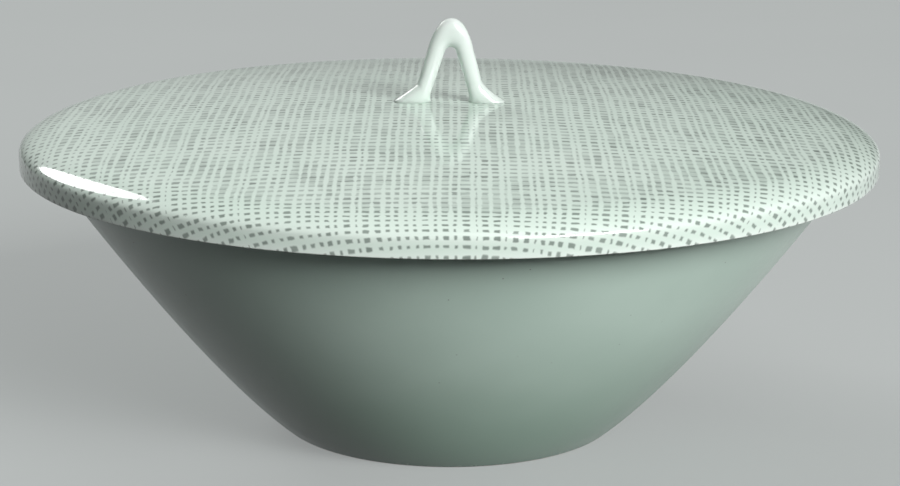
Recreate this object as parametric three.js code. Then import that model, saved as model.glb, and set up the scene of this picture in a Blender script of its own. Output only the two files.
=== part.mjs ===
// A covered vegetable dish in porcelain: a flared bowl on a low foot ring, a shallow domed lid whose
// turned-down skirt hangs over the bowl's lip, and a loop knob stuck to the lid's crown.
// Millimetres, +Z up. The origin is the middle of the foot, on the table. The knob's loop faces along Y.
import * as THREE from 'three';

// Bowl
const LIP_RADIUS = 122.5; // outside of the lip
const BOWL_HEIGHT = 88.6; // table to the top of the lip
const BOWL_WALL = 4;
const FLOOR_THICKNESS = 5;
const FOOT_RADIUS = 51; // outer edge of the flat that stands on the table
const FOOT_RING_WIDTH = 6;
const FOOT_RING_HEIGHT = 2.5; // depth of the hollow inside the foot ring
const FOOT_RING_DRAFT = 1.2; // how far the ring's inner side leans in
const FOOT_EDGE_RADIUS = 2; // rounding from the foot into the wall
const WALL_LEAN_AT_FOOT = THREE.MathUtils.degToRad(39); // above the table
const WALL_LEAN_AT_LIP = THREE.MathUtils.degToRad(56);
const WALL_FULLNESS = 0.25; // pull of the lean at each end, as a part of the straight line between them
const WELL_BLEND = 12; // how far the turn from wall to floor reaches along each of them

// Lid
const LID_WALL = 4.5;
const SKIRT_GAP = 3; // between the lip and the inside of the skirt
const SEAT_GAP = 0.3; // between the lip and the lid's underside
const SKIRT_HEIGHT = 4.9; // upright part of the skirt
const SHOULDER_RISE = 6.25;
const SHOULDER_REACH = 13; // how far in the shoulder runs
const SHOULDER_PULL_UP = 3.7; // how far the shoulder goes on upright from the skirt
const SHOULDER_PULL_IN = 3.6; // how far it follows the dome
const CROWN_RISE = 5.9; // shoulder to the middle of the lid

// Knob
const KNOB_HEIGHT = 25.4; // over the slip that holds it
const KNOB_SPAN = 33.8; // between the tips of the two feet
const KNOB_APEX_THICKNESS = 8.8;
const KNOB_TOP_RADIUS = 5;
const KNOB_EYE_RADIUS = 1.75; // rounding at the top of the opening
const KNOB_LEG_LEAN = THREE.MathUtils.degToRad(17.3); // from upright
const KNOB_LEG_DEPTH = 5.4; // front to back
const KNOB_FOOT_DEPTH = 12;
const KNOB_FOOT_EDGE = 0.6; // thickness at the rim of a foot
const KNOB_FLARE_HEIGHT = 7; // where the legs start to spread into the feet
const KNOB_FLARE_KNEE = 4.4; // height at which the spread turns outwards
const KNOB_TOE_HEIGHT = 3; // where the inner side starts to spread
const KNOB_TOE_KNEE = 1.8; // height at which it turns inwards
const KNOB_TOE_REACH = 0.8; // how far the inner side spreads
const KNOB_SEAT_GAP = 0.3; // between the feet and the lid

// Fineness of the surfaces
const TURNED_SIDES = 64;
const WALL_STEPS = 9;
const ROUNDING_STEPS = 6;
const WELL_STEPS = 5;
const SHOULDER_STEPS = 9;
const DOME_STEPS = 7;
const KNOB_SIDES = 16;
const KNOB_APEX_STEPS = 6;
const KNOB_LEG_STEPS = 3;
const KNOB_FLARE_STEPS = 6;

// Sizes that follow from the ones above
const QUARTER_TURN = Math.PI / 2;
const FLOOR_TOP = FOOT_RING_HEIGHT + FLOOR_THICKNESS;
const FOOT_CENTRE = point(FOOT_RADIUS, FOOT_EDGE_RADIUS);
const LIP_ROUNDING = BOWL_WALL / 2;
const LIP_CENTRE = point(LIP_RADIUS - LIP_ROUNDING, BOWL_HEIGHT - LIP_ROUNDING);
const LID_RADIUS = LIP_RADIUS + SKIRT_GAP + LID_WALL;
const LID_HEIGHT = SKIRT_HEIGHT + SHOULDER_RISE + CROWN_RISE;
const DOME_EDGE_RADIUS = LID_RADIUS - SHOULDER_REACH;
const DOME_RADIUS = (DOME_EDGE_RADIUS ** 2 + CROWN_RISE ** 2) / (2 * CROWN_RISE);
const DOME_CENTRE = point(0, LID_HEIGHT - DOME_RADIUS); // above the skirt's lower edge

function point(r, z) {
  return new THREE.Vector2(r, z);
}

function heading(angle, length) {
  return point(length * Math.cos(angle), length * Math.sin(angle));
}

function onCircle(centre, radius, angle) {
  return heading(angle, radius).add(centre);
}

// Points on a circle from one angle to another, both ends included.
function arc(centre, radius, from, to, steps) {
  return Array.from({ length: steps + 1 }, (_, i) =>
    onCircle(centre, radius, THREE.MathUtils.lerp(from, to, i / steps)),
  );
}

// The place between two others at which a rising measure reaches a value.
function reachedAt(rising, value, low, high) {
  const HALVINGS = 40;
  for (let i = 0; i < HALVINGS; i++) {
    const middle = (low + high) / 2;
    if (rising(middle) < value) low = middle;
    else high = middle;
  }
  return low;
}

// A solid turned about Z from a half outline that runs from the axis back to the axis.
function turned(outline) {
  return new THREE.LatheGeometry(outline, TURNED_SIDES).rotateX(QUARTER_TURN);
}

// The bowl's outer wall, from the foot's rounding up to the lip's.
function bowlWall() {
  const start = onCircle(FOOT_CENTRE, FOOT_EDGE_RADIUS, WALL_LEAN_AT_FOOT - QUARTER_TURN);
  const end = onCircle(LIP_CENTRE, LIP_ROUNDING, WALL_LEAN_AT_LIP - QUARTER_TURN);
  const pull = WALL_FULLNESS * start.distanceTo(end);
  const startPull = start.clone().add(heading(WALL_LEAN_AT_FOOT, pull));
  const endPull = end.clone().sub(heading(WALL_LEAN_AT_LIP, pull));
  return new THREE.CubicBezierCurve(start, startPull, endPull, end);
}

// The bowl's inside, one wall thickness in from the outside, from the lip down and into the flat floor.
function bowlInside(wall) {
  const inside = (t) => {
    const along = wall.getTangent(t);
    return wall.getPoint(t).add(point(-along.y, along.x).multiplyScalar(BOWL_WALL));
  };
  const floorAt = reachedAt((t) => inside(t).y, FLOOR_TOP, 0, 1);
  const corner = inside(floorAt);
  const wellAt = reachedAt((t) => inside(t).distanceTo(corner), WELL_BLEND, floorAt, 1);
  const floorEnd = point(corner.x - WELL_BLEND, FLOOR_TOP);
  const well = new THREE.QuadraticBezierCurve(inside(wellAt), corner, floorEnd);
  const upright = Array.from({ length: WALL_STEPS }, (_, i) =>
    inside(THREE.MathUtils.lerp(1, wellAt, i / WALL_STEPS)),
  );
  return [...upright, ...well.getPoints(WELL_STEPS)];
}

function bowlOutline() {
  const ringInside = FOOT_RADIUS - FOOT_RING_WIDTH;
  const wall = bowlWall();
  const footTurn = WALL_LEAN_AT_FOOT - QUARTER_TURN;
  const lipTurn = WALL_LEAN_AT_LIP - QUARTER_TURN;
  return [
    point(0, FOOT_RING_HEIGHT),
    point(ringInside - FOOT_RING_DRAFT, FOOT_RING_HEIGHT),
    point(ringInside, 0),
    ...arc(FOOT_CENTRE, FOOT_EDGE_RADIUS, -QUARTER_TURN, footTurn, ROUNDING_STEPS).slice(0, -1),
    ...wall.getPoints(WALL_STEPS).slice(0, -1),
    ...arc(LIP_CENTRE, LIP_ROUNDING, lipTurn, lipTurn + Math.PI, ROUNDING_STEPS).slice(0, -1),
    ...bowlInside(wall),
    point(0, FLOOR_TOP),
  ];
}

// The lid's outside from the skirt over the shoulder, as far as the dome.
function lidShoulder() {
  const skirtTop = point(LID_RADIUS, SKIRT_HEIGHT);
  const skirtPull = point(LID_RADIUS, SKIRT_HEIGHT + SHOULDER_PULL_UP);
  const domeEdge = point(DOME_EDGE_RADIUS, SKIRT_HEIGHT + SHOULDER_RISE);
  const domeSlope = Math.asin(DOME_EDGE_RADIUS / DOME_RADIUS);
  const domePull = domeEdge.clone().add(heading(-domeSlope, SHOULDER_PULL_IN));
  return new THREE.CubicBezierCurve(skirtTop, skirtPull, domePull, domeEdge);
}

// The lid's underside: a dome inside the outer one, with a rounded corner down to the skirt that
// clears the lip as the dome does.
function lidUnderside() {
  const domeRadius = DOME_RADIUS - LID_WALL;
  const cornerRadius = LIP_ROUNDING + SEAT_GAP;
  const cornerReach = LID_RADIUS - LID_WALL - cornerRadius;
  const meeting = Math.acos(cornerReach / (domeRadius - cornerRadius));
  const cornerCentre = onCircle(DOME_CENTRE, domeRadius - cornerRadius, meeting);
  return [
    ...arc(DOME_CENTRE, domeRadius, QUARTER_TURN, meeting, DOME_STEPS).slice(0, -1),
    ...arc(cornerCentre, cornerRadius, meeting, 0, ROUNDING_STEPS),
  ];
}

function lidOutline() {
  const skirtRounding = LID_WALL / 2;
  const skirtCentre = point(LID_RADIUS - skirtRounding, skirtRounding);
  const domeEdgeAngle = Math.acos(DOME_EDGE_RADIUS / DOME_RADIUS);
  return [
    ...lidUnderside(),
    ...arc(skirtCentre, skirtRounding, -Math.PI, 0, ROUNDING_STEPS),
    ...lidShoulder().getPoints(SHOULDER_STEPS).slice(0, -1),
    ...arc(DOME_CENTRE, DOME_RADIUS, domeEdgeAngle, QUARTER_TURN, DOME_STEPS),
  ];
}

// A point on the straight side of a leg that runs down from a round top.
function onLeg(topCentre, topRadius, height) {
  const legTop = onCircle(topCentre, topRadius, KNOB_LEG_LEAN);
  return point(legTop.x + (legTop.y - height) * Math.tan(KNOB_LEG_LEAN), height);
}

// One side of an outline of the loop, from the apex down to the lid: a round top, a straight leaning
// leg, and a spread that starts at a height, turns at its knee and ends at a reach from the middle.
function loopSide(topCentre, topRadius, spreadHeight, kneeHeight, reach) {
  const legTop = onCircle(topCentre, topRadius, KNOB_LEG_LEAN);
  const legEnd = onLeg(topCentre, topRadius, spreadHeight);
  const knee = onLeg(topCentre, topRadius, kneeHeight);
  const spread = new THREE.QuadraticBezierCurve(legEnd, knee, point(reach, KNOB_FOOT_EDGE));
  return [
    ...arc(topCentre, topRadius, QUARTER_TURN, KNOB_LEG_LEAN, KNOB_APEX_STEPS),
    ...new THREE.LineCurve(legTop, legEnd).getPoints(KNOB_LEG_STEPS).slice(1),
    ...spread.getPoints(KNOB_FLARE_STEPS).slice(1),
    point(reach, 0),
  ];
}

function outerLoopSide() {
  const topCentre = point(0, KNOB_HEIGHT - KNOB_TOP_RADIUS);
  return loopSide(topCentre, KNOB_TOP_RADIUS, KNOB_FLARE_HEIGHT, KNOB_FLARE_KNEE, KNOB_SPAN / 2);
}

function innerLoopSide() {
  const eyeCentre = point(0, KNOB_HEIGHT - KNOB_APEX_THICKNESS - KNOB_EYE_RADIUS);
  const reach = onLeg(eyeCentre, KNOB_EYE_RADIUS, 0).x - KNOB_TOE_REACH;
  return loopSide(eyeCentre, KNOB_EYE_RADIUS, KNOB_TOE_HEIGHT, KNOB_TOE_KNEE, reach);
}

// Half the strand's depth, front to back, at a height above the lid.
function strandHalfDepth(height) {
  const spread = Math.max(0, 1 - height / KNOB_FLARE_HEIGHT);
  return THREE.MathUtils.lerp(KNOB_LEG_DEPTH, KNOB_FOOT_DEPTH, spread ** 2) / 2;
}

// How far the lid's dome has dropped from its crown, at a distance from the axis.
function domeDrop(r) {
  return DOME_RADIUS - Math.sqrt(DOME_RADIUS ** 2 - r ** 2);
}

// An oval section across the strand, between a point on the outer side of the loop and one on the inner.
function strandSection(outer, inner) {
  const middle = outer.clone().lerp(inner, 0.5);
  const half = outer.clone().sub(middle);
  return Array.from({ length: KNOB_SIDES }, (_, i) => {
    const angle = (2 * Math.PI * i) / KNOB_SIDES;
    const x = middle.x + half.x * Math.cos(angle);
    const y = strandHalfDepth(middle.y) * Math.sin(angle);
    const z = middle.y + half.y * Math.cos(angle);
    return new THREE.Vector3(x, y, z - domeDrop(Math.hypot(x, y)));
  });
}

// The sections in order from one foot over the apex to the other.
function knobSections() {
  const inner = innerLoopSide();
  const side = outerLoopSide().map((outer, i) => strandSection(outer, inner[i]));
  const otherSide = side.slice(1).map((ring) => ring.map((p) => new THREE.Vector3(-p.x, p.y, p.z)));
  return [...otherSide.reverse(), ...side];
}

// A closed skin over a row of rings, with a fan over each end.
function skinned(rings) {
  const count = rings[0].length;
  const ends = [rings[0], rings.at(-1)].map((ring) =>
    ring.reduce((sum, p) => sum.add(p), new THREE.Vector3()).divideScalar(count),
  );
  const corners = [...rings.flat(), ...ends];
  const firstEnd = corners.length - 2;
  const lastEnd = corners.length - 1;
  const lastRing = (rings.length - 1) * count;
  const faces = [];
  for (let k = 0; k < count; k++) {
    const next = (k + 1) % count;
    faces.push(firstEnd, k, next, lastEnd, lastRing + next, lastRing + k);
    for (let row = 0; row < lastRing; row += count) {
      faces.push(row + k, row + count + k, row + next);
      faces.push(row + next, row + count + k, row + count + next);
    }
  }
  return new THREE.BufferGeometry().setFromPoints(corners).setIndex(faces);
}

function glaze(colour, roughness) {
  return new THREE.MeshStandardMaterial({ color: colour, roughness, metalness: 0 });
}

function piece(name, geometry, material) {
  const mesh = new THREE.Mesh(geometry, material);
  mesh.name = name;
  return mesh;
}

const bowl = piece('bowl', turned(bowlOutline()), glaze('#8fa79b', 0.18));
const lid = piece('lid', turned(lidOutline()), glaze('#d9e6e0', 0.12));
const knob = piece('knob', skinned(knobSections()), glaze('#e6f0e6', 0.12));
knob.position.z = LID_HEIGHT + KNOB_SEAT_GAP;

// The lid rests where its inner dome comes within the seat gap of the lip's rounding.
const domeToLip = DOME_RADIUS - LID_WALL - LIP_ROUNDING - SEAT_GAP;
const cover = new THREE.Group();
cover.add(lid, knob);
cover.position.z = LIP_CENTRE.y - Math.sqrt(domeToLip ** 2 - LIP_CENTRE.x ** 2) - DOME_CENTRE.y;

const dish = new THREE.Group();
dish.add(bowl, cover);

export default dish;
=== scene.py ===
"""A covered vegetable dish in porcelain: a plain grey-green bowl, a pale lid printed all over with an
open weave, and a loop knob stuck to the lid's crown.

Metres, in the frame's own axes: +Z up, and the camera looks along +Y.
"""
import math

import bpy
from bpy.props import FloatProperty, FloatVectorProperty, IntProperty, PointerProperty
from bpy.types import Operator, Panel, PropertyGroup
from mathutils import Color, Matrix, Quaternion, Vector


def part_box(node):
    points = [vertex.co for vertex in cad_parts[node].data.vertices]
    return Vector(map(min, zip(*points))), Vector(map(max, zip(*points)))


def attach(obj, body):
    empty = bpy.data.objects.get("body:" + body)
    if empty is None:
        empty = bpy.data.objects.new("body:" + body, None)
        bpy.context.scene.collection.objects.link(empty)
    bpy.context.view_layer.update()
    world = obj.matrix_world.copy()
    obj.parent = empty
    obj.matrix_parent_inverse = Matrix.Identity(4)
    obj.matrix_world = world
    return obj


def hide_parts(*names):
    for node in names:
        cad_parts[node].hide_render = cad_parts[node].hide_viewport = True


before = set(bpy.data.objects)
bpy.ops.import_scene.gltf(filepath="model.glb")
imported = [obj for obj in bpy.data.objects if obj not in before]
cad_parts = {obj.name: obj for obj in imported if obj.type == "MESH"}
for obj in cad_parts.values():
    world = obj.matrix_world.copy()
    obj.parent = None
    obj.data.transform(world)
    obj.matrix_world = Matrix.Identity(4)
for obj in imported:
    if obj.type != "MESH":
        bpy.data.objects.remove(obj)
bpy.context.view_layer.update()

bl_info = {
    "name": "Covered vegetable dish",
    "version": (1, 0, 0),
    "blender": (4, 5, 0),
    "location": "View3D > Sidebar > Dish",
    "description": "Builds a porcelain covered dish with a printed lid and a loop knob",
    "category": "Object",
}

MM = 0.001
QUARTER_TURN = math.pi / 2
FULL_TURN = 2 * math.pi
FILM_WIDTH_MM = 36

# Maps and values that the meshes hold, the second map for the textures of an exported model
PRINT_MAP = "print"
BAKE_MAP = "OFBake"
THIN = "Thin"
POOLED = "Pooled"
PRINTED = "Printed"


# Settings that a user would change

def length(name, description, millimetres):
    """A length, written in millimetres and kept in metres."""
    return FloatProperty(name=name, description=description, default=millimetres * MM,
                         unit="LENGTH", precision=5)


def angle(name, description, degrees):
    """An angle, written in degrees and kept in radians."""
    return FloatProperty(name=name, description=description, default=math.radians(degrees),
                         subtype="ANGLE")


def share(name, description, value):
    """A number from 0 to 1."""
    return FloatProperty(name=name, description=description, default=value, min=0, max=1,
                         subtype="FACTOR")


def power(name, description, watts):
    """A lamp's power."""
    return FloatProperty(name=name, description=description, default=watts, min=0, subtype="POWER")


def brightness(name, description, value):
    """The strength of the light from the room, where 1 is white."""
    return FloatProperty(name=name, description=description, default=value, min=0)


def colour(name, description, red, green, blue):
    """A colour, written as it is seen, 0 to 255."""
    seen = Color((red / 255, green / 255, blue / 255))
    return FloatVectorProperty(name=name, description=description, size=3, min=0, max=1,
                               subtype="COLOR", default=seen.from_srgb_to_scene_linear())


def facets(description, number):
    """How many flat sides a round form is made of."""
    return IntProperty(name="Sides", description=description, default=number, min=8)


class BowlSettings(PropertyGroup):
    """Sizes and colours of the bowl. Its width and height come from the frame."""
    wall: length("Wall", "Thickness of the side", 4)
    floor: length("Floor", "Thickness of the bottom", 5)
    foot_radius: length("Foot radius", "Outer edge of the flat that the dish stands on", 51)
    foot_edge: length("Foot edge", "Rounding from the foot into the side", 2)
    ring_width: length("Foot ring width", "Width of the foot ring", 6)
    ring_height: length("Foot ring height", "Depth of the hollow inside the foot ring", 2.5)
    ring_draft: length("Foot ring draft", "How far the ring's inner side leans", 1.2)
    ring_softness: length("Foot ring softness", "Rounding of the foot ring's corners", 0.9)
    lean_at_foot: angle("Lean at the foot", "Slope of the side at the foot", 39)
    lean_at_lip: angle("Lean at the lip", "Slope of the side at the lip", 56)
    fullness: share("Fullness", "How far the side bellies out", 0.25)
    well_blend: length("Well", "Reach of the turn from the side to the floor", 12)
    glaze: colour("Glaze", "Grey-green glaze where it lies even", 213, 236, 223)
    thin_glaze: colour("Thin glaze", "Where the glaze runs thin over an edge", 221, 236, 227)
    pooled_glaze: colour("Pooled glaze", "Where the glaze lies thick", 190, 216, 202)
    # Painted shade: this tone and the height below darken the bowl towards the foot, in place of the
    # shade its low side gets. They are not a glaze run.
    foot_shade_tone: colour("Deep glaze", "Where the glaze has run down towards the foot", 157, 186, 169)
    foot_shade_height: length("Run height", "Up to where the glaze deepens as it runs down", 66)
    bare_clay: colour("Bare clay", "Fired clay on the foot ring", 222, 214, 200)
    sides: facets("Facets round the bowl", 256)


class LidSettings(PropertyGroup):
    """Sizes and colours of the lid. Its width and height come from the frame."""
    wall: length("Wall", "Thickness of the lid", 4.5)
    skirt: length("Skirt", "Upright part of the skirt", 4.9)
    shoulder_rise: length("Shoulder rise", "Height of the shoulder over the skirt", 6.25)
    shoulder_reach: length("Shoulder reach", "How far in the shoulder runs", 13)
    shoulder_up: length("Shoulder pull up", "How far the shoulder goes on upright from the skirt", 3.7)
    shoulder_in: length("Shoulder pull in", "How far the shoulder follows the dome", 3.6)
    corner: length("Inner corner", "Rounding from the underside into the skirt", 2.3)
    skirt_edge: length("Skirt edge", "Rounding of the skirt's outer bottom edge", 0.45)
    skirt_inner_edge: length("Skirt inner edge", "Rounding of the skirt's inner bottom edge", 1.6)
    glaze: colour("Glaze", "Pale glaze where it lies even", 212, 227, 217)
    thin_glaze: colour("Thin glaze", "Where the glaze runs thin over an edge", 228, 238, 231)
    pooled_glaze: colour("Pooled glaze", "Where the glaze lies thick", 199, 220, 207)
    sides: facets("Facets round the lid", 256)


class KnobSettings(PropertyGroup):
    """Sizes and colours of the loop knob. Its top and its span come from the frame."""
    apex: length("Apex", "Thickness at the top of the loop", 8.8)
    top_width: length("Top width", "Half the width of the outer sides, carried up to the top", 4.35)
    top_drop: length("Top drop", "How far down the rounding over the top runs", 9)
    eye_width: length("Eye width", "Half the width of the inner sides, carried up to the eye's top", 1.3)
    eye_drop: length("Eye drop", "How far down the rounding of the eye runs", 1.4)
    outer_lean: angle("Outer lean", "Slope of the legs' outer sides from upright", 15.5)
    inner_lean: angle("Inner lean", "Slope of the legs' inner sides from upright", 17.3)
    leg_depth: length("Leg depth", "Front to back through a leg", 5.6)
    foot_depth: length("Foot depth", "Front to back through a foot", 6.4)
    foot_edge: length("Foot edge", "Thickness at the rim of a foot", 0.5)
    flare_height: length("Flare height", "Where the right leg starts to spread", 7)
    flare_knee: length("Flare knee", "Height at which the right spread turns outwards", 4.4)
    left_flare_height: length("Left flare height", "Where the left leg starts to spread", 5.6)
    left_flare_knee: length("Left flare knee", "Height at which the left spread turns outwards", 4.9)
    toe_height: length("Toe height", "Where the inner sides start to turn", 3)
    toe_knee: length("Toe knee", "Height at which the inner sides turn in", 1.8)
    toe_reach: length("Toe reach", "How far the inner sides turn in", 0.8)
    lean: length("Lean", "How far the bent strand's top leans to the right", 0.5)
    glaze: colour("Glaze", "Pale glaze where it lies even", 215, 222, 218)
    pooled_glaze: colour("Pooled glaze", "Where the glaze gathers at the feet", 208, 222, 213)
    sides: facets("Facets round the strand", 40)


class PrintSettings(PropertyGroup):
    """The open weave printed on the lid."""
    ink: colour("Ink", "Ink in the gaps of the weave", 90, 103, 95)
    column_pitch: length("Column pitch", "From thread to thread, left to right", 2.6)
    row_pitch: length("Row pitch", "From thread to thread, front to back", 3.9)
    column_thread: share("Column thread", "Thickness of a thread in the column pitch", 0.42)
    row_thread: share("Row thread", "Thickness of a thread in the row pitch", 0.54)
    column_uneven: share("Column unevenness", "How much the spacing of the columns differs", 0.48)
    row_uneven: share("Row unevenness", "How much the spacing of the rows differs", 0.12)
    bend: length("Bend", "How far the whole weave is pulled out of line", 1.1)
    row_gather: share("Row gather", "How much closer the rows lie over the edge", 0.65)
    column_gather: share("Column gather", "How much closer the columns lie over the edge", 0.1)


class StageSettings(PropertyGroup):
    """Floor, lights and camera."""
    floor: colour("Floor", "Plain pale floor", 188, 192, 191)
    floor_bounce: colour("Floor bounce", "Floor as it lights the dish from below", 38, 41, 40)
    back_light: power("Back softbox", "Softbox behind, on the left", 60)
    front_light: power("Front softbox", "Low softbox in front, on the right", 175)
    strip_light: power("Strip softbox", "Narrow softbox beside the front one", 26)
    top_light: power("Top softbox", "High softbox in front, on the right", 15)
    room_light: brightness("Room", "Light from the room all round", 0.04)
    wall_glow: brightness("Wall glow", "Extra light from the wall behind", 0.42)
    ceiling_glow: brightness("Ceiling glow", "Extra light from the ceiling behind", 0.43)
    camera_distance: length("Camera distance", "From the dish's axis, along the floor", 730.07)
    camera_height: length("Camera height", "Above the floor", 234.12)
    camera_pitch: angle("Camera pitch", "How far the camera looks down", 13.763)
    camera_yaw: angle("Camera yaw", "How far the camera looks to the right", 0.0262)
    camera_roll: angle("Camera roll", "How far the camera leans", 0.3477)
    lens: FloatProperty(name="Lens", description="Focal length in mm, for film 36 mm wide",
                        default=97.18, min=1, subtype="DISTANCE_CAMERA")


class DishSettings(PropertyGroup):
    """All the settings of the dish."""
    bowl: PointerProperty(type=BowlSettings, name="Bowl", description="The bowl")
    lid: PointerProperty(type=LidSettings, name="Lid", description="The lid")
    knob: PointerProperty(type=KnobSettings, name="Knob", description="The loop knob")
    weave: PointerProperty(type=PrintSettings, name="Print", description="The lid's print")
    stage: PointerProperty(type=StageSettings, name="Stage", description="Floor, lights and camera")


# Outlines, as points of radius and height

def point(r, z):
    return Vector((r, z))


def heading(turn, distance):
    """A way of some length in the direction of an angle."""
    return distance * Vector((math.cos(turn), math.sin(turn)))


def arc(centre, radius, start, end, *, steps):
    """Points on a circle from one angle to another, both ends included."""
    return [centre + heading(start + (end - start) * i / steps, radius) for i in range(steps + 1)]


def curve(*pulls, steps):
    """Points on the smooth curve that a row of pulls draws, both ends included."""
    def at(t):
        row = pulls
        while len(row) > 1:
            row = [a.lerp(b, t) for a, b in zip(row, row[1:])]
        return row[0].copy()

    return [at(i / steps) for i in range(steps + 1)]


def line(start, end, *, steps):
    """Points on a straight line, both ends included."""
    return curve(start, end, steps=steps)


def softened(before, corner, after, cut, *, steps):
    """A corner with its point cut off in a curve."""
    start = corner + (before - corner).normalized() * cut
    end = corner + (after - corner).normalized() * cut
    return curve(start, corner, end, steps=steps)


def joined(*stretches):
    """One outline from stretches that may share their end points."""
    same_place = 0.001 * MM
    outline = []
    for stretch in stretches:
        for p in stretch:
            if not outline or (p - outline[-1]).length > same_place:
                outline.append(p)
    return outline


def moved_in(wall, distance):
    """The line at a distance to the left of another."""
    moved = []
    for before, here, after in zip(wall[:1] + wall, wall, wall[1:] + wall[-1:]):
        side = (after - before).orthogonal().normalized()
        moved.append(here + distance * side)
    return moved


def distances(outline):
    """How far along an outline each of its points lies."""
    far = [0.0]
    for a, b in zip(outline, outline[1:]):
        far.append(far[-1] + (b - a).length)
    return far


def bowl_outline(size):
    """The bowl's half outline from under the floor, round the foot, up the side and down the inside."""
    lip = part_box("bowl")[1]
    lip_round = size.wall / 2
    lip_centre = point(lip.x - lip_round, lip.z - lip_round)
    foot_centre = point(size.foot_radius, size.foot_edge)
    foot_turn = size.lean_at_foot - QUARTER_TURN
    lip_turn = size.lean_at_lip - QUARTER_TURN

    start = foot_centre + heading(foot_turn, size.foot_edge)
    end = lip_centre + heading(lip_turn, lip_round)
    pull = size.fullness * (end - start).length
    side = curve(start, start + heading(size.lean_at_foot, pull),
                 end - heading(size.lean_at_lip, pull), end, steps=48)

    ring_inside = size.foot_radius - size.ring_width
    under_middle = point(0, size.ring_height)
    under_edge = point(ring_inside - size.ring_draft, size.ring_height)
    ring_edge = point(ring_inside, 0)
    ring_outer = point(size.foot_radius, 0)
    under_turn = softened(under_middle, under_edge, ring_edge, size.ring_softness, steps=6)
    ring_turn = softened(under_edge, ring_edge, ring_outer, size.ring_softness, steps=6)

    floor_top = size.ring_height + size.floor
    inside = moved_in(side, size.wall)
    upright = [p for p in inside if p.y > floor_top]
    below = inside[-len(upright) - 1]
    corner = below.lerp(upright[0], (floor_top - below.y) / (upright[0].y - below.y))
    clear = [p for p in upright if (p - corner).length > size.well_blend]
    floor_edge = point(corner.x - size.well_blend, floor_top)
    well = curve(clear[0], corner, floor_edge, steps=14)
    return joined(
        line(under_middle, under_turn[0], steps=10),
        under_turn,
        ring_turn,
        line(ring_turn[-1], ring_outer, steps=3),
        arc(foot_centre, size.foot_edge, -QUARTER_TURN, foot_turn, steps=8),
        side,
        arc(lip_centre, lip_round, lip_turn, lip_turn + math.pi, steps=16),
        reversed(clear),
        well,
        line(floor_edge, point(0, floor_top), steps=10),
    )


def lid_dome(size):
    """The radius and the centre of the dome's outline."""
    low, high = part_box("lid")
    crown_rise = high.z - low.z - size.skirt - size.shoulder_rise
    edge = high.x - size.shoulder_reach
    radius = (edge ** 2 + crown_rise ** 2) / (2 * crown_rise)
    return radius, point(0, high.z - radius)


def lid_underside(size):
    """The lid's half outline from the middle of its underside to the skirt's bottom edge."""
    low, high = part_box("lid")
    dome_radius, dome_centre = lid_dome(size)
    inner_radius = dome_radius - size.wall
    corner_radius = inner_radius - size.corner
    meeting = math.acos((high.x - size.wall - size.corner) / corner_radius)
    corner_centre = dome_centre + heading(meeting, corner_radius)
    inner_edge = size.skirt_inner_edge
    edge_centre = point(high.x - size.wall + inner_edge, low.z + inner_edge)
    return joined(
        arc(dome_centre, inner_radius, QUARTER_TURN, meeting, steps=24),
        arc(corner_centre, size.corner, meeting, 0, steps=10),
        arc(edge_centre, inner_edge, -math.pi, -QUARTER_TURN, steps=8),
        [point(high.x - size.skirt_edge, low.z)],
    )


def lid_top(size):
    """The lid's half outline from under the skirt, over the shoulder to the crown."""
    low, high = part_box("lid")
    dome_radius, dome_centre = lid_dome(size)
    edge_centre = point(high.x - size.skirt_edge, low.z + size.skirt_edge)
    skirt_top = point(high.x, low.z + size.skirt)
    upward = point(0, size.shoulder_up)
    dome_edge = point(high.x - size.shoulder_reach, skirt_top.y + size.shoulder_rise)
    edge_turn = math.acos(dome_edge.x / dome_radius)
    downhill = heading(edge_turn - QUARTER_TURN, size.shoulder_in)
    return joined(
        arc(edge_centre, size.skirt_edge, -QUARTER_TURN, 0, steps=8),
        line(point(high.x, edge_centre.y), skirt_top, steps=4),
        curve(skirt_top, skirt_top + upward, dome_edge + downhill, dome_edge, steps=28),
        arc(dome_centre, dome_radius, edge_turn, QUARTER_TURN, steps=40),
    )


def loop_side(top, width, drop, lean, spread_at, knee_at, reach, edge):
    """One side of an outline of the knob's loop, from its top down to the lid.

    All sides have the same number of points, so that outer and inner ones pair up.
    """
    def on_leg(height):
        return point(width + (top - height) * math.tan(lean), height)

    return (
        curve(point(0, top), on_leg(top), on_leg(top - drop), steps=18)[:-1]
        + line(on_leg(top - drop), on_leg(spread_at), steps=16)[:-1]
        + curve(on_leg(spread_at), on_leg(knee_at), point(reach, edge), steps=24)
        + [point(reach, -edge)]
    )


# Meshes

def add_object(name, data):
    """Puts a new object in the scene."""
    made = bpy.data.objects.new(name, data)
    bpy.context.scene.collection.objects.link(made)
    return made


def new_mesh(name, corners, faces):
    """A mesh that is shaded smooth."""
    mesh = bpy.data.meshes.new(name)
    mesh.from_pydata(corners, [], faces)
    mesh.validate()
    mesh.shade_smooth()
    return mesh


def new_piece(name, mesh, material, *, body, node):
    """Puts a mesh in the scene, in place of its CAD node and riding on its body."""
    piece = add_object(name, mesh)
    mesh.materials.append(material)
    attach(piece, body)
    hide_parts(node)


def store(mesh, name, values):
    """Keeps one number for each corner of a mesh, for its material."""
    mesh.attributes.new(name, "FLOAT", "POINT").data.foreach_set("value", values)


def store_along(mesh, name, values, sides):
    """Keeps one number for each point of a turned mesh's outline, all the way round."""
    ends = [values[0], values[-1]]
    store(mesh, name, ends + [v for v in values[1:-1] for _ in range(sides)])


def bending(outline):
    """How sharply an outline turns at each point, outwards positive, per metre."""
    turns = [0.0]
    for before, here, after in zip(outline, outline[1:], outline[2:]):
        first = here - before
        second = after - here
        turn = math.atan2(first.x * second.y - first.y * second.x, first.dot(second))
        turns.append(turn / ((first.length + second.length) / 2))
    return turns + [0.0]


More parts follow.
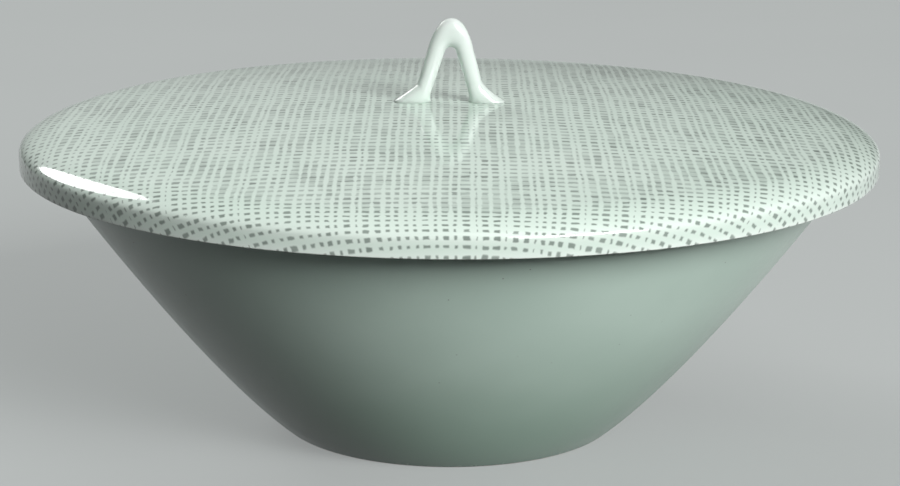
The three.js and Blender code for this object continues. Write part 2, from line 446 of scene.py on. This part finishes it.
def spread_out(values, outline, reach):
    """Each value averaged with its neighbours along the outline, closer ones counting more."""
    places = distances(outline)
    widths = [(b - a) / 2 for a, b in zip(places[:1] + places, places[1:] + places[-1:])]
    smooth = []
    for here in places:
        weights = [w * math.exp(-((there - here) / reach) ** 2) for there, w in zip(places, widths)]
        smooth.append(sum(w * v for w, v in zip(weights, values)) / sum(weights))
    return smooth


def store_glaze(mesh, outline, sides):
    """Keeps where the glaze of a turned mesh runs thin over edges and lies thick in hollows."""
    turn_of_edge = 1 / (1.5 * MM)
    turn_of_hollow = 1 / (25 * MM)
    edge_reach = 1.2 * MM
    pool_reach = 5 * MM
    bends = spread_out(bending(outline), outline, edge_reach)
    thin = [min(max(b / turn_of_edge, 0), 1) for b in bends]
    pooled = [min(max(-b / turn_of_hollow, 0), 1) for b in bends]
    store_along(mesh, THIN, thin, sides)
    store_along(mesh, POOLED, spread_out(pooled, outline, pool_reach), sides)


def turned_mesh(name, outline, sides):
    """A closed mesh turned about Z, with the places where its glaze is thin or thick.

    Its first two corners are the ends of the outline, on the axis.
    """
    rings = outline[1:-1]
    last = len(rings) - 1
    corners = [(0, 0, outline[0].y), (0, 0, outline[-1].y)]
    for p in rings:
        for k in range(sides):
            turn = FULL_TURN * k / sides
            corners.append((p.x * math.cos(turn), p.x * math.sin(turn), p.y))
    faces = []
    for k in range(sides):
        here = 2 + k
        beside = 2 + (k + 1) % sides
        faces.append((0, beside, here))
        faces.append((1, here + last * sides, beside + last * sides))
        for row in range(0, last * sides, sides):
            faces.append((here + row, beside + row, beside + row + sides, here + row + sides))
    mesh = new_mesh(name, corners, faces)
    store_glaze(mesh, outline, sides)
    return mesh


def gathered(distance, start, end, more):
    """Distance from the crown in the print, whose threads close up from one distance to another."""
    into = min(max((distance - start) / (end - start), 0.0), 1.0)
    return distance + more * (end - start) * into * into * (3 - 2 * into)


def lay_maps(mesh, outline, sides, print_edge, shoulder, weave):
    """Lays the print flat over the lid's crown, and a second map with most room for the printed top."""
    from_crown = distances(outline[::-1])[::-1]
    from_under = distances(outline)
    top_reach = from_crown[print_edge]
    under_reach = from_under[print_edge]
    top_middle = Vector((0.5, 0.5))
    top_room = 0.49
    under_middle = Vector((0.915, 0.085))
    under_room = 0.08

    places = mesh.uv_layers.new(name=PRINT_MAP)
    bake = mesh.uv_layers.new(name=BAKE_MAP)
    ring_of = [0, len(outline) - 1]
    ring_of += [1 + i // sides for i in range(len(mesh.vertices) - 2)]
    for face in mesh.polygons:
        on_top = max(ring_of[v] for v in face.vertices) > print_edge
        for loop in face.loop_indices:
            vertex = mesh.vertices[mesh.loops[loop].vertex_index]
            ring = ring_of[vertex.index]
            out = vertex.co.to_2d().normalized()
            column_place = out.x * gathered(from_crown[ring], shoulder, top_reach, weave.column_gather)
            row_place = out.y * gathered(from_crown[ring], shoulder, top_reach, weave.row_gather)
            places.data[loop].uv = column_place, row_place
            if on_top:
                bake.data[loop].uv = top_middle + out * from_crown[ring] / top_reach * top_room
            else:
                bake.data[loop].uv = under_middle + out * from_under[ring] / under_reach * under_room
    mesh.uv_layers[PRINT_MAP].active_render = True


def knob_sections(size, lid):
    """Rounded sections across the strand, from one foot over the top to the other."""
    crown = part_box("lid")[1].z
    low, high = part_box("knob")
    height = high.z - crown
    eye = height - size.apex
    inner_reach = size.eye_width + eye * math.tan(size.inner_lean) - size.toe_reach
    outer_right = loop_side(height, size.top_width, size.top_drop, size.outer_lean,
                            size.flare_height, size.flare_knee, high.x, size.foot_edge)
    outer_left = loop_side(height, size.top_width, size.top_drop, size.outer_lean,
                           size.left_flare_height, size.left_flare_knee, -low.x, size.foot_edge)
    inner = loop_side(eye, size.eye_width, size.eye_drop, size.inner_lean,
                      size.toe_height, size.toe_knee, inner_reach, size.foot_edge)
    dome_radius = lid_dome(lid)[0]
    roundness = 0.9

    def fuller(value):
        """A sine or cosine for an ellipse that is a little squared, as its roundness is under 1."""
        return math.copysign(abs(value) ** roundness, value)

    def section(outside, inside, side):
        """One ring of the strand, bent down onto the dome. Side is 1 on the right, -1 on the left."""
        middle = (outside + inside) / 2
        half = outside - middle
        spread = max(0.0, 1 - middle.y / size.flare_height)
        depth = (size.leg_depth + (size.foot_depth - size.leg_depth) * spread ** 2) / 2
        ring = []
        for k in range(size.sides):
            turn = FULL_TURN * k / size.sides
            across = fuller(math.cos(turn))
            rise = middle.y + half.y * across
            x = side * (middle.x + half.x * across) + size.lean * max(0.0, rise / height) ** 2
            y = depth * fuller(math.sin(turn))
            drop = dome_radius - math.sqrt(dome_radius ** 2 - x * x - y * y)
            ring.append(Vector((x, y, crown + rise - drop)))
        return ring

    right = [section(o, i, 1) for o, i in zip(outer_right, inner)]
    left = [section(o, i, -1) for o, i in zip(outer_left[1:], inner[1:])]
    return left[::-1] + right


def skinned_mesh(name, rings):
    """A closed skin over a row of rings, with a fan over each end."""
    sides = len(rings[0])
    corners = [p for ring in rings for p in ring]
    last_ring = len(corners) - sides
    first_end = len(corners)
    last_end = first_end + 1
    corners += [sum(ring, Vector()) / sides for ring in (rings[0], rings[-1])]
    faces = []
    for k in range(sides):
        beside = (k + 1) % sides
        faces.append((first_end, k, beside))
        faces.append((last_end, last_ring + beside, last_ring + k))
        for row in range(0, last_ring, sides):
            faces.append((row + k, row + sides + k, row + sides + beside, row + beside))
    return new_mesh(name, corners, faces)


# Materials

def opaque(tone, level=1.0):
    """A colour for a socket, which may be darkened to a level."""
    return (*(level * c for c in tone), 1.0)


class Nodes:
    """Adds nodes to a tree, and joins them up as they are made."""

    def __init__(self, tree):
        self.tree = tree

    def add(self, kind, inputs=None, **settings):
        made = self.tree.nodes.new("ShaderNode" + kind)
        for name, value in settings.items():
            setattr(made, name, value)
        for name, value in (inputs or {}).items():
            self.feed(made.inputs[name], value)
        return made

    def feed(self, socket, value):
        """Gives a socket a value, or a link if the value comes from another node."""
        if isinstance(value, bpy.types.NodeSocket):
            self.tree.links.new(value, socket)
        else:
            socket.default_value = value

    def group(self, name, build):
        """Places a shared node group, which is built when it is first needed."""
        shared = bpy.data.node_groups.get(name) or build(name)
        return self.add("Group", node_tree=shared)

    def math(self, operation, *values):
        return self.add("Math", dict(enumerate(values)), operation=operation).outputs[0]

    def ramp(self, value, span, to=(0.0, 1.0)):
        """A value taken smoothly from one span to another, and held at the ends."""
        sockets = {"Value": value, "From Min": span[0], "From Max": span[1],
                   "To Min": to[0], "To Max": to[1]}
        return self.add("MapRange", sockets, interpolation_type="SMOOTHSTEP").outputs["Result"]

    def mix(self, factor, first, second):
        """A colour between two, which are a Mix node's inputs 6 and 7, and its output 2."""
        return self.add("Mix", {"Factor": factor, 6: first, 7: second}, data_type="RGBA").outputs[2]

    def noise(self, place, *, scale, detail, dimensions="3D"):
        sockets = {"Vector": place, "Scale": scale, "Detail": detail}
        return self.add("TexNoise", sockets, noise_dimensions=dimensions).outputs["Fac"]

    def pair(self, x, y):
        return self.add("CombineXYZ", {"X": x, "Y": y}).outputs[0]


def node_group(name, inputs, outputs):
    """A new shader node group with sockets listed by kind, its nodes, and what it is given and gives."""
    group = bpy.data.node_groups.new(name, "ShaderNodeTree")
    for in_out, sockets in (("INPUT", inputs), ("OUTPUT", outputs)):
        for kind, labels in sockets.items():
            for label in labels:
                group.interface.new_socket(label, in_out=in_out, socket_type="NodeSocket" + kind)
    given = group.nodes.new("NodeGroupInput").outputs
    gives = group.nodes.new("NodeGroupOutput").inputs
    return group, Nodes(group), given, gives


def fired_glaze(name):
    """A fired glaze: cloudy, thin on edges, thick in hollows, rippled, with a few iron specks."""
    group, nodes, given, gives = node_group(
        name,
        inputs={"Vector": ["Place"],
                "Float": [THIN, POOLED, "Dullness", "Specks"],
                "Color": ["Glaze", THIN + " Glaze", POOLED + " Glaze"]},
        outputs={"Color": ["Color"], "Float": ["Roughness", "Height"]})
    place = given["Place"]
    cloud = nodes.noise(place, scale=22.0, detail=3.0)
    ripple = nodes.noise(place, scale=70.0, detail=1.0)
    pitting = nodes.noise(place, scale=620.0, detail=1.0)

    drift = nodes.ramp(cloud, (0.3, 0.75), to=(0.0, 0.35))
    thick = nodes.math("MINIMUM", nodes.math("ADD", given[POOLED], drift), 1.0)
    even = nodes.mix(thick, given["Glaze"], given[POOLED + " Glaze"])
    worn = nodes.mix(given[THIN], even, given[THIN + " Glaze"])

    iron = (0.06, 0.05, 0.035)
    cells = nodes.add("TexVoronoi", {"Vector": place, "Scale": 420.0}).outputs
    luck = nodes.add("SeparateColor", {"Color": cells["Color"]}).outputs["Red"]
    rare = nodes.ramp(luck, (0.955, 0.965))
    dot = nodes.ramp(cells["Distance"], (0.05, 0.13), to=(1.0, 0.0))
    speck = nodes.math("MULTIPLY", nodes.math("MULTIPLY", rare, dot), given["Specks"])
    nodes.feed(gives["Color"], nodes.mix(speck, worn, opaque(iron)))

    duller_where_thin = 0.06
    uneven = nodes.ramp(pitting, (0.2, 0.8), to=(-0.02, 0.03))
    dulled = nodes.math("MULTIPLY_ADD", given[THIN], duller_where_thin, given["Dullness"])
    nodes.feed(gives["Roughness"], nodes.math("ADD", dulled, uneven))
    pit_height = 0.06
    pits = nodes.math("MULTIPLY", pitting, pit_height)
    nodes.feed(gives["Height"], nodes.math("ADD", ripple, pits))
    return group


def thread_gaps(name):
    """Threads that run one way at uneven spacing: how open it is between them, and each gap's number.

    Across counts the threads, along is in metres, and a thread's thickness is a share of the spacing.
    """
    group, nodes, given, gives = node_group(
        name,
        inputs={"Float": ["Across", "Along", "Thread", "Uneven"]},
        outputs={"Float": ["Open", "Number"]})

    def threads(feature):
        sockets = {"W": given["Across"], "Scale": 1.0, "Randomness": given["Uneven"]}
        return nodes.add("TexVoronoi", sockets, voronoi_dimensions="1D", feature=feature).outputs

    nearest = threads("F1")
    following = threads("F2")
    lane_spacing = 7.31
    lane = nodes.math("MULTIPLY", nearest["W"], lane_spacing)

    def swelling(scale, reach):
        """How one thread's thickness changes along it, to both sides of nothing."""
        place = nodes.pair(nodes.math("MULTIPLY", given["Along"], scale), lane)
        wave = nodes.noise(place, scale=1.0, detail=1.0, dimensions="2D")
        return nodes.math("MULTIPLY", nodes.math("SUBTRACT", wave, 0.5), reach)

    swollen = nodes.math("ADD", swelling(scale=60.0, reach=0.26), swelling(scale=400.0, reach=0.26))
    half = nodes.math("MULTIPLY_ADD", given["Thread"], 0.5, swollen)
    feather = 0.11
    past_edge = nodes.math("SUBTRACT", nearest["Distance"], half)
    nodes.feed(gives["Open"], nodes.ramp(past_edge, (-feather, feather)))
    fineness = 1000.0
    twice_middle = nodes.math("ADD", nearest["W"], following["W"])
    nodes.feed(gives["Number"], nodes.math("ROUND", nodes.math("MULTIPLY", twice_middle, fineness)))
    return group


def open_weave(name):
    """The open weave: ink wherever two crossing sets of threads leave a gap.

    Over the lid's edge the threads are thicker, and the ink is more even.
    """
    group, nodes, given, gives = node_group(
        name,
        inputs={"Vector": ["Place"],
                "Float": ["Column Pitch", "Row Pitch", "Column Thread", "Row Thread",
                          "Column Uneven", "Row Uneven", "Bend", "Edge"]},
        outputs={"Float": ["Ink"]})
    place = nodes.add("SeparateXYZ", {"Vector": given["Place"]}).outputs
    tugs = {"Vector": given["Place"], "Scale": 16.0, "Detail": 3.0, "Roughness": 0.6}
    tugging = nodes.add("TexNoise", tugs, noise_dimensions="2D").outputs["Color"]
    pulls = nodes.add("SeparateColor", {"Color": tugging}).outputs
    full_bend = nodes.math("MULTIPLY", given["Bend"], 2.0)

    def bent(pull, measure):
        """A measure pulled to both sides of where it was."""
        return nodes.math("MULTIPLY_ADD", nodes.math("SUBTRACT", pull, 0.5), full_bend, measure)

    across = bent(pulls["Red"], place["X"])
    along = bent(pulls["Green"], place["Y"])
    edge_width = 12 * MM
    out = nodes.add("VectorMath", {0: given["Place"]}, operation="LENGTH").outputs["Value"]
    over_edge = nodes.ramp(out, (given["Edge"], nodes.math("ADD", given["Edge"], edge_width)))

    def threads(kind, measure, other, *, first, thicker_over_edge):
        """One set of threads, counted from a first number on."""
        made = nodes.group("thread gaps", thread_gaps)
        count = nodes.math("DIVIDE", measure, given[kind + " Pitch"])
        thicker = nodes.math("MULTIPLY_ADD", over_edge, thicker_over_edge, 1.0)
        nodes.feed(made.inputs["Across"], nodes.math("ADD", count, first))
        nodes.feed(made.inputs["Along"], other)
        nodes.feed(made.inputs["Thread"], nodes.math("MULTIPLY", given[kind + " Thread"], thicker))
        nodes.feed(made.inputs["Uneven"], given[kind + " Uneven"])
        return made.outputs

    columns = threads("Column", across, place["Y"], first=100.0, thicker_over_edge=0.3)
    rows = threads("Row", along, place["X"], first=400.0, thicker_over_edge=0.1)

    faintest = 0.48
    luck_share = 0.38
    edge_strength = 0.8
    edge_evenness = 0.75
    gap_number = nodes.pair(columns["Number"], rows["Number"])
    luck = nodes.add("TexWhiteNoise", {"Vector": gap_number}, noise_dimensions="2D").outputs["Value"]
    cloud = nodes.noise(given["Place"], scale=60.0, detail=2.0, dimensions="2D")
    patch = nodes.ramp(cloud, (0.3, 0.7), to=(0.7, 1.0))
    strength = nodes.math("MULTIPLY", nodes.math("MULTIPLY_ADD", luck, luck_share, faintest), patch)
    evened = nodes.math("MULTIPLY", nodes.math("SUBTRACT", edge_strength, strength), edge_evenness)
    strength = nodes.math("MULTIPLY_ADD", over_edge, evened, strength)

    blots = nodes.noise(given["Place"], scale=45.0, detail=2.0, dimensions="2D")
    smudge = nodes.ramp(blots, (0.38, 0.66), to=(0.06, 0.55))
    on_dome = nodes.math("SUBTRACT", 1.0, over_edge)
    dashes = nodes.math("MAXIMUM", rows["Open"], nodes.math("MULTIPLY", smudge, on_dome))
    gaps = nodes.math("MULTIPLY", columns["Open"], dashes)
    nodes.feed(gives["Ink"], nodes.math("MULTIPLY", gaps, strength))
    return group


def new_material(name, finish):
    """A new material, its nodes and its shader, whose sockets have the values of the finish."""
    material = bpy.data.materials.new(name)
    material.use_nodes = True
    material.node_tree.nodes.clear()
    nodes = Nodes(material.node_tree)
    shader = nodes.add("BsdfPrincipled", finish)
    nodes.add("OutputMaterial", {"Surface": shader.outputs[0]})
    return material, nodes, shader


def glazed_material(name, tone, tones_at, finish, *, dullness, specks):
    """A new glazed material, its nodes, its shader and its glaze.

    The glaze has another tone at the places that the mesh holds under their names.
    """
    material, nodes, shader = new_material(name, {"IOR": 1.5, **finish})
    glaze = nodes.group("fired glaze", fired_glaze)
    nodes.feed(glaze.inputs["Place"], nodes.add("TexCoord").outputs["Object"])
    nodes.feed(glaze.inputs["Glaze"], opaque(tone))
    for place, other_tone in tones_at.items():
        nodes.feed(glaze.inputs[place], nodes.add("Attribute", attribute_name=place).outputs["Fac"])
        nodes.feed(glaze.inputs[place + " Glaze"], opaque(other_tone))
    nodes.feed(glaze.inputs["Dullness"], dullness)
    nodes.feed(glaze.inputs["Specks"], specks)
    ripples = {"Height": glaze.outputs["Height"], "Strength": 0.05, "Distance": 0.4 * MM}
    nodes.feed(shader.inputs["Normal"], nodes.add("Bump", ripples).outputs[0])
    nodes.feed(shader.inputs["Roughness"], glaze.outputs["Roughness"])
    nodes.feed(shader.inputs["Base Color"], glaze.outputs["Color"])
    return material, nodes, shader, glaze


def bowl_material(settings):
    """Grey-green glaze, darkened towards the foot as painted shade, that stops short of the bare foot
    ring.
    """
    tones_at = {THIN: settings.thin_glaze, POOLED: settings.pooled_glaze}
    material, nodes, shader, glaze = glazed_material(
        "bowl_glaze", settings.glaze, tones_at, {"Specular IOR Level": 0.36}, dullness=0.24, specks=0.5)
    place = nodes.add("TexCoord").outputs["Object"]
    height = nodes.add("SeparateXYZ", {"Vector": place}).outputs["Z"]

    # Painted shade: the glaze colour darkens towards the foot. It is darkest up to one height and fades
    # out by the shade height, along a wavy edge.
    full_shade_up_to = 10 * MM
    shade_edge_waves = 12 * MM
    wave = nodes.noise(place, scale=25.0, detail=2.0)
    wavy = nodes.math("MULTIPLY_ADD", wave, shade_edge_waves, height)
    # run is how much painted shade each point gets, not a run of glaze.
    run = nodes.ramp(wavy, (full_shade_up_to, settings.foot_shade_height), to=(1.0, 0.0))
    foot_shaded = nodes.mix(run, glaze.outputs["Color"], opaque(settings.foot_shade_tone))

    glaze_edge = (0.45 * MM, 0.75 * MM)
    raggedness = 0.5 * MM
    grain_shade = 0.8
    clay_dullness = 0.55
    grain = nodes.noise(place, scale=900.0, detail=3.0)
    ragged = nodes.math("MULTIPLY_ADD", grain, raggedness, height)
    bare = nodes.ramp(ragged, glaze_edge, to=(1.0, 0.0))
    clay = nodes.mix(grain, opaque(settings.bare_clay), opaque(settings.bare_clay, grain_shade))
    nodes.feed(shader.inputs["Base Color"], nodes.mix(bare, foot_shaded, clay))
    matt = nodes.math("MULTIPLY_ADD", bare, clay_dullness, glaze.outputs["Roughness"])
    nodes.feed(shader.inputs["Roughness"], matt)
    return material


def lid_material(settings, weave, shoulder):
    """Pale glossy glaze over the printed weave. The underside is plain."""
    tones_at = {THIN: settings.thin_glaze, POOLED: settings.pooled_glaze}
    material, nodes, shader, glaze = glazed_material(
        "lid_glaze", settings.glaze, tones_at, {}, dullness=0.07, specks=0.2)
    cloth = nodes.group("open weave", open_weave)
    nodes.feed(cloth.inputs["Place"], nodes.add("UVMap", uv_map=PRINT_MAP).outputs["UV"])
    for socket, value in (("Column Pitch", weave.column_pitch), ("Row Pitch", weave.row_pitch),
                          ("Column Thread", weave.column_thread), ("Row Thread", weave.row_thread),
                          ("Column Uneven", weave.column_uneven), ("Row Uneven", weave.row_uneven),
                          ("Bend", weave.bend), ("Edge", shoulder)):
        nodes.feed(cloth.inputs[socket], value)
    printed = nodes.add("Attribute", attribute_name=PRINTED).outputs["Fac"]
    ink = nodes.math("MULTIPLY", cloth.outputs["Ink"], printed)
    nodes.feed(shader.inputs["Base Color"], nodes.mix(ink, glaze.outputs["Color"], opaque(weave.ink)))
    return material


def knob_material(settings):
    """Pale glossy glaze, thicker round the feet, on a strand so thin that light goes into it."""
    lit_through = {
        "Subsurface Weight": 0.9,
        "Subsurface Radius": (1.0, 1.0, 1.0),
        "Subsurface Scale": 4 * MM,
    }
    tones_at = {POOLED: settings.pooled_glaze}
    return glazed_material(
        "knob_glaze", settings.glaze, tones_at, lit_through, dullness=0.07, specks=0.2)[0]


def floor_material(tone, bounce):
    """A plain matt pale floor, a little cloudy, that throws little light back up.

    A share of its look is its own light, so that it is even far out and still shows the shadow.
    """
    material, nodes, shader = new_material("floor", {"Roughness": 0.9, "Specular IOR Level": 0.0})
    own_light = 0.55
    cloud_shade = 0.94
    lit = [(1 - own_light) * c for c in tone]
    cloud = nodes.noise(nodes.add("TexCoord").outputs["Object"], scale=3.0, detail=3.0)
    looks = nodes.mix(cloud, opaque(lit), opaque(lit, cloud_shade))
    ray = nodes.add("LightPath").outputs
    seen = nodes.math("MAXIMUM", ray["Is Camera Ray"], ray["Is Glossy Ray"])
    seen = nodes.math("MAXIMUM", seen, ray["Is Transmission Ray"])
    nodes.feed(shader.inputs["Base Color"], nodes.mix(seen, opaque(bounce), looks))
    nodes.feed(shader.inputs["Emission Color"], looks)
    evenly_lit = nodes.math("MULTIPLY", seen, own_light / (1 - own_light))
    nodes.feed(shader.inputs["Emission Strength"], evenly_lit)
    return material


# Stage

def direction(bearing, elevation):
    """A direction in degrees. The bearing goes from straight behind the dish round to its right."""
    turn = math.radians(bearing)
    rise = math.radians(elevation)
    return Vector((math.sin(turn) * math.cos(rise), math.cos(turn) * math.cos(rise), math.sin(rise)))


def add_floor(stage):
    """A square floor that reaches well past the picture."""
    reach = 8.0
    corners = [(-reach, -reach, 0), (reach, -reach, 0), (reach, reach, 0), (-reach, reach, 0)]
    mesh = new_mesh("floor", corners, [(0, 1, 2, 3)])
    mesh.materials.append(floor_material(stage.floor, stage.floor_bounce))
    floor = add_object("floor", mesh)


def add_softbox(name, watts, *, bearing, elevation, width, height, shape="RECTANGLE", roll=0):
    """A softbox that faces the lid's crown."""
    distance = 4.0
    crown = Vector((0, 0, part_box("lid")[1].z))
    out = direction(bearing, elevation)
    lamp = bpy.data.lights.new(name, "AREA")
    lamp.shape = shape
    lamp.size = width
    lamp.size_y = height
    lamp.energy = watts
    softbox = add_object(name, lamp)
    softbox.location = crown + distance * out
    aim = (-out).to_track_quat("-Z", "Y") @ Quaternion((0, 0, 1), math.radians(roll))
    softbox.rotation_euler = aim.to_euler()


def add_softboxes(stage):
    """One softbox behind on the left, and three in front on the right."""
    add_softbox("back_softbox", stage.back_light, bearing=-41.2, elevation=29.9,
                width=1.53, height=1.96, shape="ELLIPSE", roll=-8)
    add_softbox("front_softbox", stage.front_light, bearing=142, elevation=24.8, width=1.7, height=1.4)
    add_softbox("strip_softbox", stage.strip_light, bearing=159, elevation=24.8, width=0.64, height=1.9)
    add_softbox("top_softbox", stage.top_light, bearing=152, elevation=55, width=1.6, height=2.4)


def add_room_light(stage):
    """Even light from the room, with a soft glow on the wall behind the dish and on the ceiling."""
    world = bpy.data.worlds.new("room")
    world.use_nodes = True
    nodes = Nodes(world.node_tree)
    ahead = nodes.add("TexCoord").outputs["Generated"]

    def glow(extra, *, bearing, elevation, reach):
        """Light that fades out all round a direction, within an angle in degrees."""
        sockets = {0: ahead, 1: direction(bearing, elevation)}
        towards = nodes.add("VectorMath", sockets, operation="DOT_PRODUCT").outputs["Value"]
        return nodes.ramp(towards, (math.cos(math.radians(reach)), 1.0), to=(0.0, extra))

    room_tone = (0.96, 1.0, 0.975)
    on_wall = glow(stage.wall_glow, bearing=-9, elevation=14, reach=26)
    on_ceiling = glow(stage.ceiling_glow, bearing=-20, elevation=62, reach=60)
    glows = nodes.math("ADD", on_wall, on_ceiling)
    backdrop = world.node_tree.nodes["Background"]
    nodes.feed(backdrop.inputs["Color"], opaque(room_tone))
    nodes.feed(backdrop.inputs["Strength"], nodes.math("ADD", glows, stage.room_light))
    bpy.context.scene.world = world


def add_camera(stage):
    """The camera where the photograph was taken from."""
    pitch, yaw, roll = stage.camera_pitch, stage.camera_yaw, stage.camera_roll
    ahead = Vector((math.sin(yaw) * math.cos(pitch), math.cos(yaw) * math.cos(pitch), -math.sin(pitch)))
    level = Vector((math.cos(yaw), -math.sin(yaw), 0))
    upward = level.cross(ahead)
    right = math.cos(roll) * level + math.sin(roll) * upward
    over = right.cross(ahead)
    lens = bpy.data.cameras.new("camera")
    lens.sensor_fit = "HORIZONTAL"
    lens.sensor_width = FILM_WIDTH_MM
    lens.lens = stage.lens
    lens.clip_start = 10 * MM
    camera = add_object("camera", lens)
    axes = Matrix((right, over, -ahead)).transposed().to_4x4()
    camera.matrix_world = Matrix.Translation((0, -stage.camera_distance, stage.camera_height)) @ axes
    bpy.context.scene.camera = camera


# Operators

class DISH_OT_bowl(Operator):
    """Make the bowl with its foot ring"""
    bl_idname = "covered_dish.bowl"
    bl_label = "Bowl"

    def execute(self, context):
        settings = context.scene.covered_dish.bowl
        mesh = turned_mesh("bowl_shell", bowl_outline(settings), settings.sides)
        material = bowl_material(settings)
        new_piece("bowl_shell", mesh, material, body="bowl", node="bowl")
        return {"FINISHED"}


class DISH_OT_lid(Operator):
    """Make the printed lid"""
    bl_idname = "covered_dish.lid"
    bl_label = "Lid"

    def execute(self, context):
        dish = context.scene.covered_dish
        settings = dish.lid
        under = lid_underside(settings)
        outline = joined(under, lid_top(settings))
        print_edge = len(under) - 1
        mesh = turned_mesh("lid_shell", outline, settings.sides)
        printed = [float(i >= print_edge) for i in range(len(outline))]
        store_along(mesh, PRINTED, printed, settings.sides)
        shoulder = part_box("lid")[1].x - settings.shoulder_reach
        lay_maps(mesh, outline, settings.sides, print_edge, shoulder, dish.weave)
        material = lid_material(settings, dish.weave, shoulder)
        new_piece("lid_shell", mesh, material, body="lid", node="lid")
        return {"FINISHED"}


class DISH_OT_knob(Operator):
    """Make the loop knob and seat it on the lid"""
    bl_idname = "covered_dish.knob"
    bl_label = "Knob"

    def execute(self, context):
        dish = context.scene.covered_dish
        settings = dish.knob
        mesh = skinned_mesh("loop_knob", knob_sections(settings, dish.lid))
        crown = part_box("lid")[1].z
        pool_height = 2 * MM
        heights = [v.co.z - crown for v in mesh.vertices]
        store(mesh, POOLED, [math.exp(-max(h, 0.0) / pool_height) for h in heights])
        material = knob_material(settings)
        new_piece("loop_knob", mesh, material, body="lid", node="knob")
        return {"FINISHED"}


class DISH_OT_stage(Operator):
    """Set the floor, the lights and the camera"""
    bl_idname = "covered_dish.stage"
    bl_label = "Stage"

    def execute(self, context):
        stage = context.scene.covered_dish.stage
        add_floor(stage)
        add_softboxes(stage)
        add_room_light(stage)
        add_camera(stage)
        context.scene.view_settings.view_transform = "Standard"
        return {"FINISHED"}


class DISH_PT_panel(Panel):
    """Buttons that build the dish, and its settings"""
    bl_idname = "DISH_PT_panel"
    bl_label = "Covered dish"
    bl_space_type = "VIEW_3D"
    bl_region_type = "UI"
    bl_category = "Dish"

    def draw(self, context):
        dish = context.scene.covered_dish
        for operator, *groups in ((DISH_OT_stage, dish.stage), (DISH_OT_bowl, dish.bowl),
                                  (DISH_OT_lid, dish.lid, dish.weave), (DISH_OT_knob, dish.knob)):
            box = self.layout.box()
            box.operator(operator.bl_idname)
            for settings in groups:
                for name in type(settings).__annotations__:
                    box.prop(settings, name)


CLASSES = (
    BowlSettings, LidSettings, KnobSettings, PrintSettings, StageSettings, DishSettings,
    DISH_OT_bowl, DISH_OT_lid, DISH_OT_knob, DISH_OT_stage, DISH_PT_panel,
)


def register():
    for cls in CLASSES:
        bpy.utils.register_class(cls)
    bpy.types.Scene.covered_dish = PointerProperty(type=DishSettings)


def unregister():
    del bpy.types.Scene.covered_dish
    for cls in reversed(CLASSES):
        bpy.utils.unregister_class(cls)


def main():
    register()
    bpy.ops.covered_dish.stage()
    bpy.ops.covered_dish.bowl()
    bpy.ops.covered_dish.lid()
    bpy.ops.covered_dish.knob()


if __name__ == "__main__":
    main()
